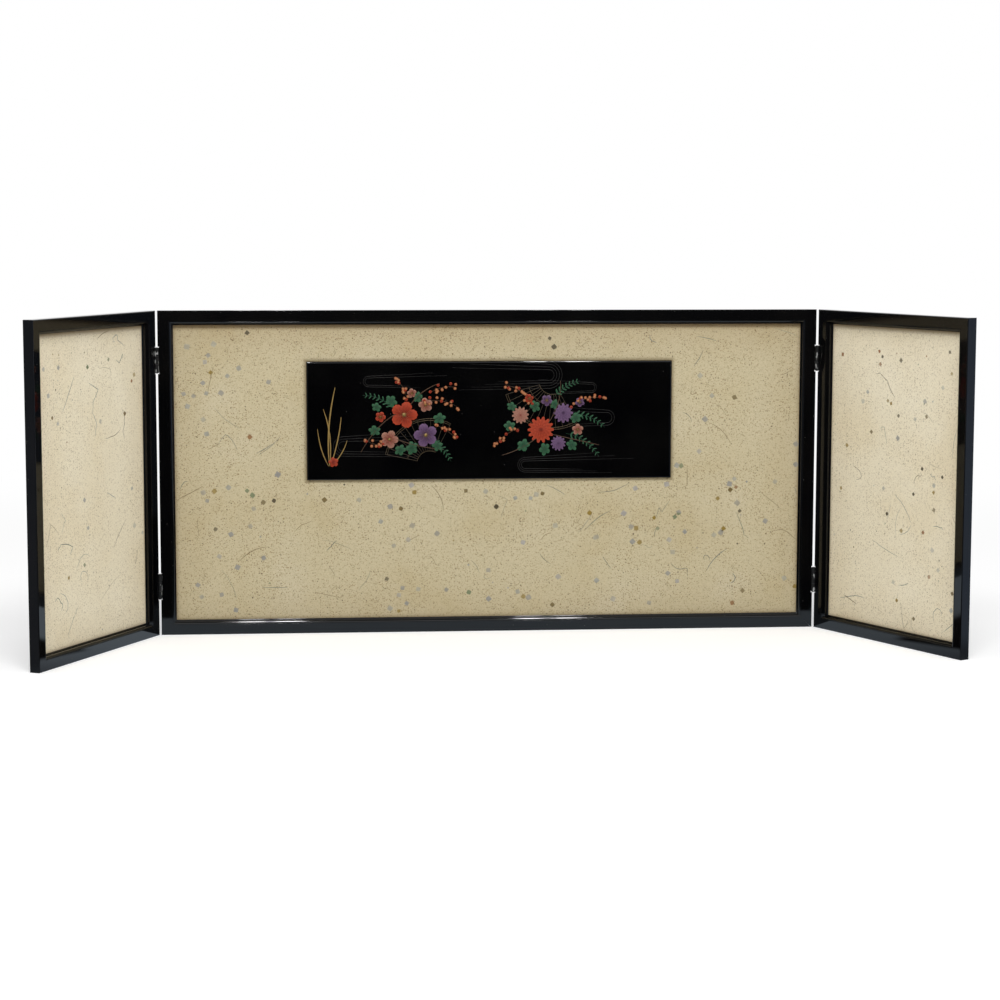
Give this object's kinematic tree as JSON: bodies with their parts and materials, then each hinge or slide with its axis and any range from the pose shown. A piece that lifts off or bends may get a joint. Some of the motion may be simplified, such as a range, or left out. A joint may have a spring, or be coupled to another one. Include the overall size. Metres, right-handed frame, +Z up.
{
  "type": "table-top folding screen",
  "caption": "Three-panel table-top folding screen with mitred lacquered frames, flecked paper fields, a plaque on the wide centre panel and hinged wings.",
  "frame": {"origin": "middle of the centre panel's underside, at half its thickness", "axes": "+X along the centre panel to the right as seen from the front, +Y towards the back, +Z up"},
  "size_m": [0.8966, 0.2117, 0.33],
  "materials": {
    "lacquered_frame": "black gloss lacquer over a wooden moulding",
    "flecked_paper": "handmade paper with fibres and scattered leaf",
    "backing_paper": "plain dark paper",
    "core_board": "thin plywood",
    "spline_wood": "plain hardwood",
    "point_steel": "flat stamped steel",
    "plaque_lacquer": "polished black lacquer",
    "adhesive_foam": "white foam tape",
    "hinge_metal": "black enamel, worn on the knuckles",
    "pin_metal": "turned steel",
    "screw_metal": "blackened steel"
  },
  "bodies": {
    "centre_panel": {"centre_top_rail": "lacquered_frame", "centre_bottom_rail": "lacquered_frame", "centre_left_stile": "lacquered_frame", "centre_right_stile": "lacquered_frame", "centre_front_paper": "flecked_paper", "centre_core_board": "core_board", "centre_backing_paper": "backing_paper", "centre_corner_splines": "spline_wood", "centre_retaining_points": "point_steel", "plaque": "plaque_lacquer", "plaque_adhesive_pads": "adhesive_foam", "left_upper_hinge_centre_leaf": "hinge_metal", "left_upper_hinge_pin": "pin_metal", "left_lower_hinge_centre_leaf": "hinge_metal", "left_lower_hinge_pin": "pin_metal", "right_upper_hinge_centre_leaf": "hinge_metal", "right_upper_hinge_pin": "pin_metal", "right_lower_hinge_centre_leaf": "hinge_metal", "right_lower_hinge_pin": "pin_metal", "left_centre_hinge_screws": "screw_metal", "right_centre_hinge_screws": "screw_metal"},
    "left_wing": {"left_wing_top_rail": "lacquered_frame", "left_wing_bottom_rail": "lacquered_frame", "left_wing_outer_stile": "lacquered_frame", "left_wing_hinge_stile": "lacquered_frame", "left_wing_front_paper": "flecked_paper", "left_wing_core_board": "core_board", "left_wing_backing_paper": "backing_paper", "left_wing_corner_splines": "spline_wood", "left_wing_retaining_points": "point_steel", "left_upper_hinge_wing_leaf": "hinge_metal", "left_lower_hinge_wing_leaf": "hinge_metal", "left_wing_hinge_screws": "screw_metal"},
    "right_wing": {"right_wing_top_rail": "lacquered_frame", "right_wing_bottom_rail": "lacquered_frame", "right_wing_outer_stile": "lacquered_frame", "right_wing_hinge_stile": "lacquered_frame", "right_wing_front_paper": "flecked_paper", "right_wing_core_board": "core_board", "right_wing_backing_paper": "backing_paper", "right_wing_corner_splines": "spline_wood", "right_wing_retaining_points": "point_steel", "right_upper_hinge_wing_leaf": "hinge_metal", "right_lower_hinge_wing_leaf": "hinge_metal", "right_wing_hinge_screws": "screw_metal"}
  },
  "joints": [
    {"name": "left_wing_fold", "type": "hinge", "parent": "centre_panel", "child": "left_wing", "pos_m": [-0.337, -0.0058, 0.165], "axis": [0, 0, 1], "range_deg": [-78.2, 116.8]},
    {"name": "right_wing_fold", "type": "hinge", "parent": "centre_panel", "child": "right_wing", "pos_m": [0.337, -0.0058, 0.165], "axis": [0, 0, -1], "range_deg": [-78.2, 116.8]}
  ]
}
